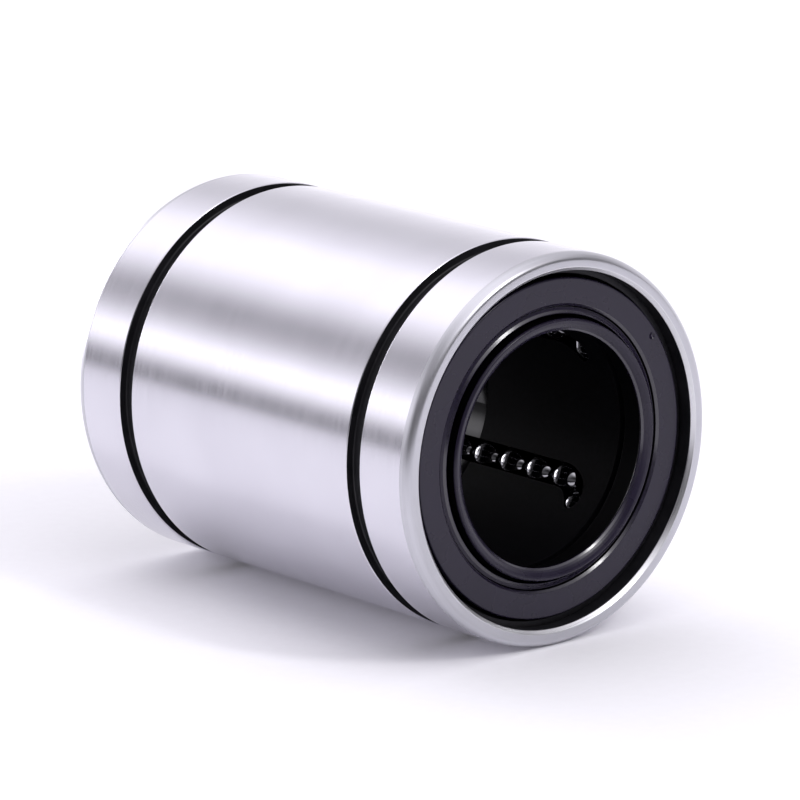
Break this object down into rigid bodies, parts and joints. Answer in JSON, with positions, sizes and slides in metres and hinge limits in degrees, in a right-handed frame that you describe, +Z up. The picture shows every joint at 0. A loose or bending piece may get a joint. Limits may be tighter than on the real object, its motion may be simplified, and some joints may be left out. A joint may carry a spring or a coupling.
{
  "type": "linear ball bushing",
  "caption": "Closed linear ball bushing: steel sleeve with two clip grooves, ball cage with recirculating ball circuits, lip seals and retaining rings.",
  "frame": {"origin": "middle of the bushing, on the bore axis", "axes": "+X along the bore towards the front seal, +Z up; the bushing lies on its side"},
  "size_m": [0.042, 0.032, 0.032],
  "materials": {
    "ground_steel": "finely ground and polished bearing steel",
    "ball_steel": "lapped bearing balls",
    "spring_steel": "black phosphated spring steel",
    "cage_plastic": "moulded black plastic",
    "seal_rubber": "moulded dark grey rubber"
  },
  "bodies": {
    "body": {"outer_sleeve": "ground_steel", "ball_cage": "cage_plastic", "front_seal": "seal_rubber", "rear_seal": "seal_rubber", "front_retaining_ring": "spring_steel", "rear_retaining_ring": "spring_steel"},
    "circuit_1_loaded_row": {"circuit_1_loaded_ball_1": "ball_steel", "circuit_1_loaded_ball_2": "ball_steel", "circuit_1_loaded_ball_3": "ball_steel", "circuit_1_loaded_ball_4": "ball_steel", "circuit_1_loaded_ball_5": "ball_steel", "circuit_1_loaded_ball_6": "ball_steel", "circuit_1_loaded_ball_7": "ball_steel"},
    "circuit_1_return_row": {"circuit_1_return_balls": "ball_steel"},
    "circuit_1_front_turn": {"circuit_1_front_turn_balls": "ball_steel"},
    "circuit_1_rear_turn": {"circuit_1_rear_turn_balls": "ball_steel"},
    "circuit_2_loaded_row": {"circuit_2_loaded_ball_1": "ball_steel", "circuit_2_loaded_ball_2": "ball_steel", "circuit_2_loaded_ball_3": "ball_steel", "circuit_2_loaded_ball_4": "ball_steel", "circuit_2_loaded_ball_5": "ball_steel", "circuit_2_loaded_ball_6": "ball_steel", "circuit_2_loaded_ball_7": "ball_steel"},
    "circuit_2_return_row": {"circuit_2_return_balls": "ball_steel"},
    "circuit_2_front_turn": {"circuit_2_front_turn_balls": "ball_steel"},
    "circuit_2_rear_turn": {"circuit_2_rear_turn_balls": "ball_steel"},
    "circuit_3_loaded_row": {"circuit_3_loaded_ball_1": "ball_steel", "circuit_3_loaded_ball_2": "ball_steel", "circuit_3_loaded_ball_3": "ball_steel", "circuit_3_loaded_ball_4": "ball_steel", "circuit_3_loaded_ball_5": "ball_steel", "circuit_3_loaded_ball_6": "ball_steel", "circuit_3_loaded_ball_7": "ball_steel"},
    "circuit_3_return_row": {"circuit_3_return_balls": "ball_steel"},
    "circuit_3_front_turn": {"circuit_3_front_turn_balls": "ball_steel"},
    "circuit_3_rear_turn": {"circuit_3_rear_turn_balls": "ball_steel"},
    "circuit_4_loaded_row": {"circuit_4_loaded_ball_1": "ball_steel", "circuit_4_loaded_ball_2": "ball_steel", "circuit_4_loaded_ball_3": "ball_steel", "circuit_4_loaded_ball_4": "ball_steel", "circuit_4_loaded_ball_5": "ball_steel", "circuit_4_loaded_ball_6": "ball_steel", "circuit_4_loaded_ball_7": "ball_steel"},
    "circuit_4_return_row": {"circuit_4_return_balls": "ball_steel"},
    "circuit_4_front_turn": {"circuit_4_front_turn_balls": "ball_steel"},
    "circuit_4_rear_turn": {"circuit_4_rear_turn_balls": "ball_steel"},
    "circuit_5_loaded_row": {"circuit_5_loaded_ball_1": "ball_steel", "circuit_5_loaded_ball_2": "ball_steel", "circuit_5_loaded_ball_3": "ball_steel", "circuit_5_loaded_ball_4": "ball_steel", "circuit_5_loaded_ball_5": "ball_steel", "circuit_5_loaded_ball_6": "ball_steel", "circuit_5_loaded_ball_7": "ball_steel"},
    "circuit_5_return_row": {"circuit_5_return_balls": "ball_steel"},
    "circuit_5_front_turn": {"circuit_5_front_turn_balls": "ball_steel"},
    "circuit_5_rear_turn": {"circuit_5_rear_turn_balls": "ball_steel"}
  },
  "joints": [
    {"name": "circuit_1_loaded_run", "type": "slide", "parent": "body", "child": "circuit_1_loaded_row", "axis": [1, 0, 0], "range_m": [-0.0034, 0]},
    {"name": "circuit_1_return_run", "type": "slide", "parent": "body", "child": "circuit_1_return_row", "axis": [1, 0, 0], "range_m": [0, 0.00342]},
    {"name": "circuit_1_front_turn_run", "type": "hinge", "parent": "body", "child": "circuit_1_front_turn", "pos_m": [0.01154, 0.00888, -0.0079], "axis": [0, 0.8771, -0.4804], "range_deg": [-84.9, 0]},
    {"name": "circuit_1_rear_turn_run", "type": "hinge", "parent": "body", "child": "circuit_1_rear_turn", "pos_m": [-0.01154, 0.00888, -0.0079], "axis": [0, 0.8771, -0.4804], "range_deg": [-84.9, 0]},
    {"name": "circuit_2_loaded_run", "type": "slide", "parent": "body", "child": "circuit_2_loaded_row", "axis": [1, 0, 0], "range_m": [-0.0034, 0]},
    {"name": "circuit_2_return_run", "type": "slide", "parent": "body", "child": "circuit_2_return_row", "axis": [1, 0, 0], "range_m": [0, 0.00342]},
    {"name": "circuit_2_front_turn_run", "type": "hinge", "parent": "body", "child": "circuit_2_front_turn", "pos_m": [0.01154, 0.01026, 0.006], "axis": [0, 0.7279, 0.6857], "range_deg": [-84.9, 0]},
    {"name": "circuit_2_rear_turn_run", "type": "hinge", "parent": "body", "child": "circuit_2_rear_turn", "pos_m": [-0.01154, 0.01026, 0.006], "axis": [0, 0.7279, 0.6857], "range_deg": [-84.9, 0]},
    {"name": "circuit_3_loaded_run", "type": "slide", "parent": "body", "child": "circuit_3_loaded_row", "axis": [1, 0, 0], "range_m": [-0.0034, 0]},
    {"name": "circuit_3_return_run", "type": "slide", "parent": "body", "child": "circuit_3_return_row", "axis": [1, 0, 0], "range_m": [0, 0.00342]},
    {"name": "circuit_3_front_turn_run", "type": "hinge", "parent": "body", "child": "circuit_3_front_turn", "pos_m": [0.01154, -0.00254, 0.01161], "axis": [0, -0.4272, 0.9042], "range_deg": [-84.9, 0]},
    {"name": "circuit_3_rear_turn_run", "type": "hinge", "parent": "body", "child": "circuit_3_rear_turn", "pos_m": [-0.01154, -0.00254, 0.01161], "axis": [0, -0.4272, 0.9042], "range_deg": [-84.9, 0]},
    {"name": "circuit_4_loaded_run", "type": "slide", "parent": "body", "child": "circuit_4_loaded_row", "axis": [1, 0, 0], "range_m": [-0.0034, 0]},
    {"name": "circuit_4_return_run", "type": "slide", "parent": "body", "child": "circuit_4_return_row", "axis": [1, 0, 0], "range_m": [0, 0.00342]},
    {"name": "circuit_4_front_turn_run", "type": "hinge", "parent": "body", "child": "circuit_4_front_turn", "pos_m": [0.01154, -0.01183, 0.00117], "axis": [0, -0.9919, -0.1269], "range_deg": [-84.9, 0]},
    {"name": "circuit_4_rear_turn_run", "type": "hinge", "parent": "body", "child": "circuit_4_rear_turn", "pos_m": [-0.01154, -0.01183, 0.00117], "axis": [0, -0.9919, -0.1269], "range_deg": [-84.9, 0]},
    {"name": "circuit_5_loaded_run", "type": "slide", "parent": "body", "child": "circuit_5_loaded_row", "axis": [1, 0, 0], "range_m": [-0.0034, 0]},
    {"name": "circuit_5_return_run", "type": "slide", "parent": "body", "child": "circuit_5_return_row", "axis": [1, 0, 0], "range_m": [0, 0.00342]},
    {"name": "circuit_5_front_turn_run", "type": "hinge", "parent": "body", "child": "circuit_5_front_turn", "pos_m": [0.01154, -0.00477, -0.01089], "axis": [0, -0.1858, -0.9826], "range_deg": [-84.9, 0]},
    {"name": "circuit_5_rear_turn_run", "type": "hinge", "parent": "body", "child": "circuit_5_rear_turn", "pos_m": [-0.01154, -0.00477, -0.01089], "axis": [0, -0.1858, -0.9826], "range_deg": [-84.9, 0]}
  ],
  "couplings": [
    {"joint": "circuit_1_return_run", "follows": "circuit_1_loaded_run", "ratio": -1},
    {"joint": "circuit_1_front_turn_run", "follows": "circuit_1_loaded_run", "rad_per_m": 434.78},
    {"joint": "circuit_1_rear_turn_run", "follows": "circuit_1_loaded_run", "rad_per_m": 434.78},
    {"joint": "circuit_2_return_run", "follows": "circuit_2_loaded_run", "ratio": -1},
    {"joint": "circuit_2_front_turn_run", "follows": "circuit_2_loaded_run", "rad_per_m": 434.78},
    {"joint": "circuit_2_rear_turn_run", "follows": "circuit_2_loaded_run", "rad_per_m": 434.78},
    {"joint": "circuit_3_return_run", "follows": "circuit_3_loaded_run", "ratio": -1},
    {"joint": "circuit_3_front_turn_run", "follows": "circuit_3_loaded_run", "rad_per_m": 434.78},
    {"joint": "circuit_3_rear_turn_run", "follows": "circuit_3_loaded_run", "rad_per_m": 434.78},
    {"joint": "circuit_4_return_run", "follows": "circuit_4_loaded_run", "ratio": -1},
    {"joint": "circuit_4_front_turn_run", "follows": "circuit_4_loaded_run", "rad_per_m": 434.78},
    {"joint": "circuit_4_rear_turn_run", "follows": "circuit_4_loaded_run", "rad_per_m": 434.78},
    {"joint": "circuit_5_return_run", "follows": "circuit_5_loaded_run", "ratio": -1},
    {"joint": "circuit_5_front_turn_run", "follows": "circuit_5_loaded_run", "rad_per_m": 434.78},
    {"joint": "circuit_5_rear_turn_run", "follows": "circuit_5_loaded_run", "rad_per_m": 434.78}
  ]
}
